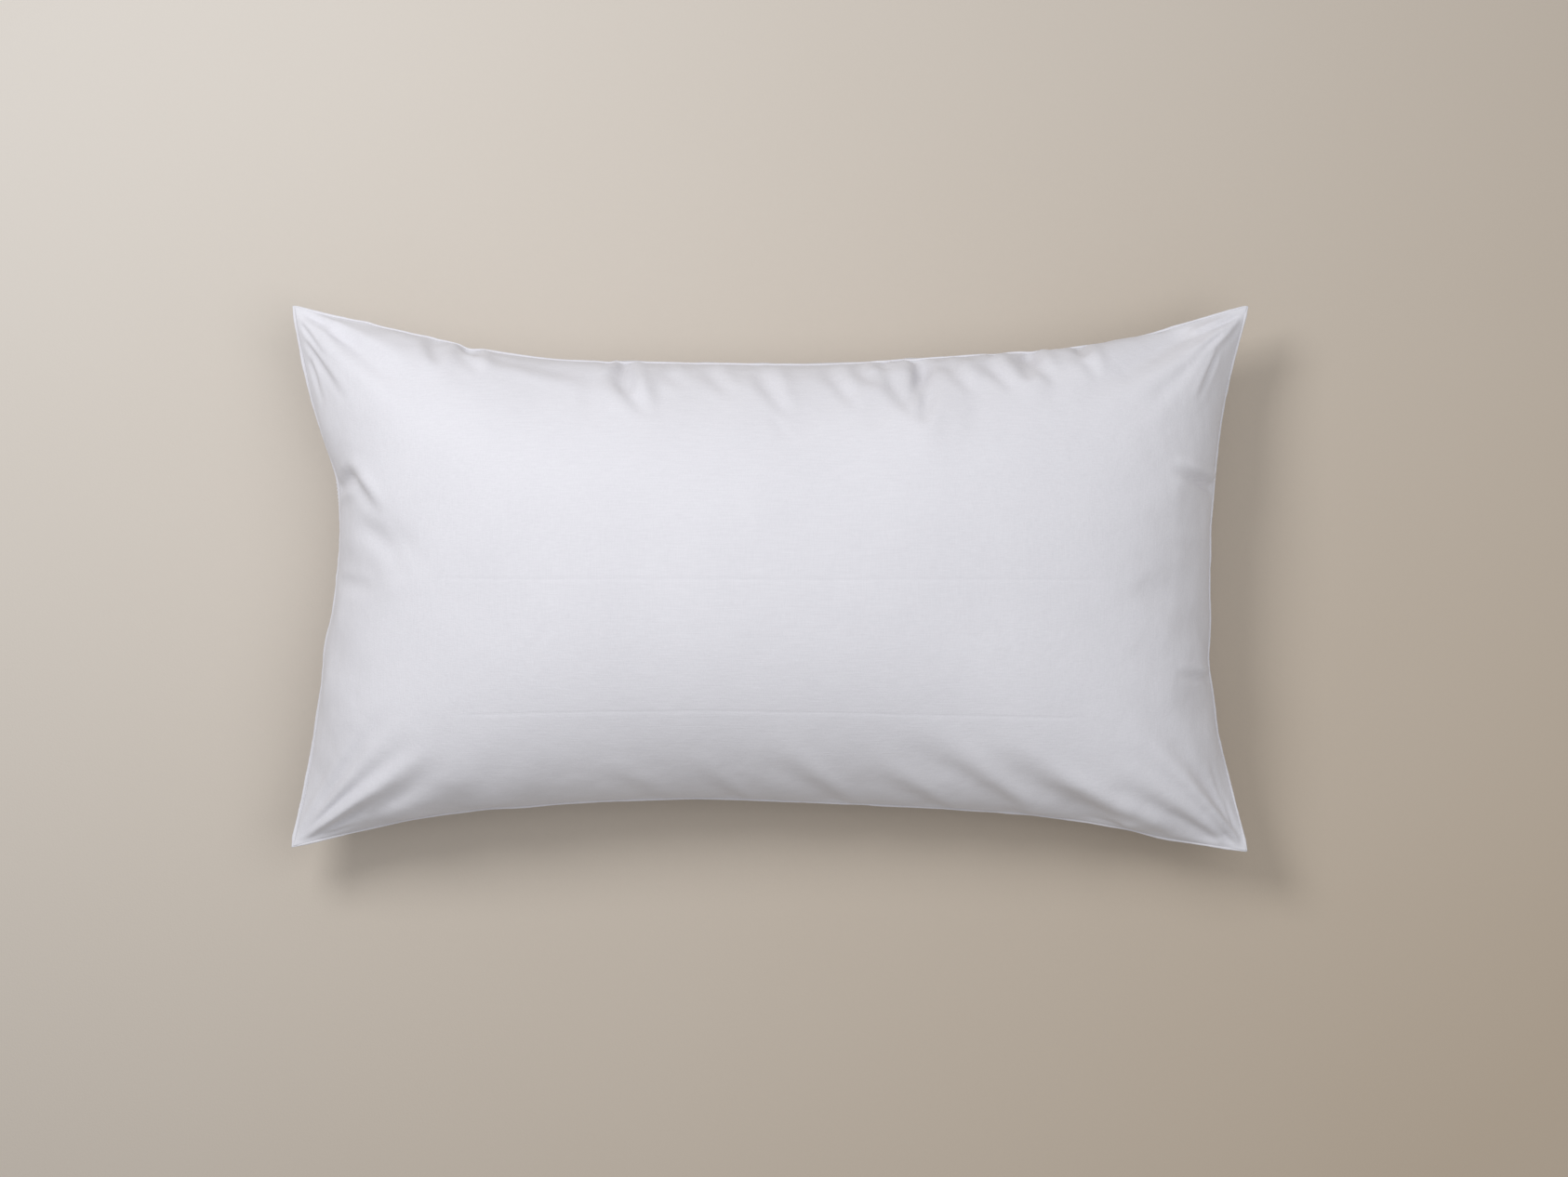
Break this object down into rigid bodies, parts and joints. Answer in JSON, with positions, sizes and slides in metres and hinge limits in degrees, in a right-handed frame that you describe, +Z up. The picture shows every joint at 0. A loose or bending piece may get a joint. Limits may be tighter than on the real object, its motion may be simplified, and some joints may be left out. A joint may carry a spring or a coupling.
{
  "type": "bed pillow in a tuck-in pillowcase",
  "caption": "Plump rectangular bed pillow with pulled-out corners, in a plain cotton case with a turned seam round its edge.",
  "frame": {"origin": "middle of the pillow's footprint, on the surface it rests on", "axes": "+X along the length to the sewn end, -X to the open end, +Y to the head-side long seam, +Z up"},
  "size_m": [0.876, 0.5, 0.2022],
  "materials": {
    "case_cotton": "smooth close plain weave, soft matt with a faint cool cast",
    "case_seam": "turned double edge of the same cotton, sewn through",
    "sewing_thread": "white spun polyester thread",
    "label_tape": "blank woven satin tape",
    "insert_ticking": "dense matt cotton ticking",
    "fibre_fill": "loose white polyester fibre"
  },
  "bodies": {
    "base": {"case_back_panel": "case_cotton", "case_tuck_flap": "case_cotton", "case_open_hem": "case_cotton", "case_hem_stitching": "sewing_thread", "case_flap_stitching": "sewing_thread", "case_seam_head": "case_seam", "case_seam_foot": "case_seam", "case_seam_closed_end": "case_seam", "case_care_label": "label_tape", "insert_bottom_panel": "insert_ticking", "insert_piping": "insert_ticking", "insert_closing_stitching": "sewing_thread", "insert_care_label": "label_tape", "fibre_fill": "fibre_fill"},
    "crown": {"case_front_panel": "case_cotton", "insert_top_panel": "insert_ticking"}
  },
  "joints": [
    {"name": "crown_press", "type": "slide", "parent": "base", "child": "crown", "axis": [0, 0, -1], "range_m": [0, 0.06], "stiffness_N_per_m": 700, "deforming": ["case_front_panel", "insert_top_panel", "fibre_fill"]}
  ]
}
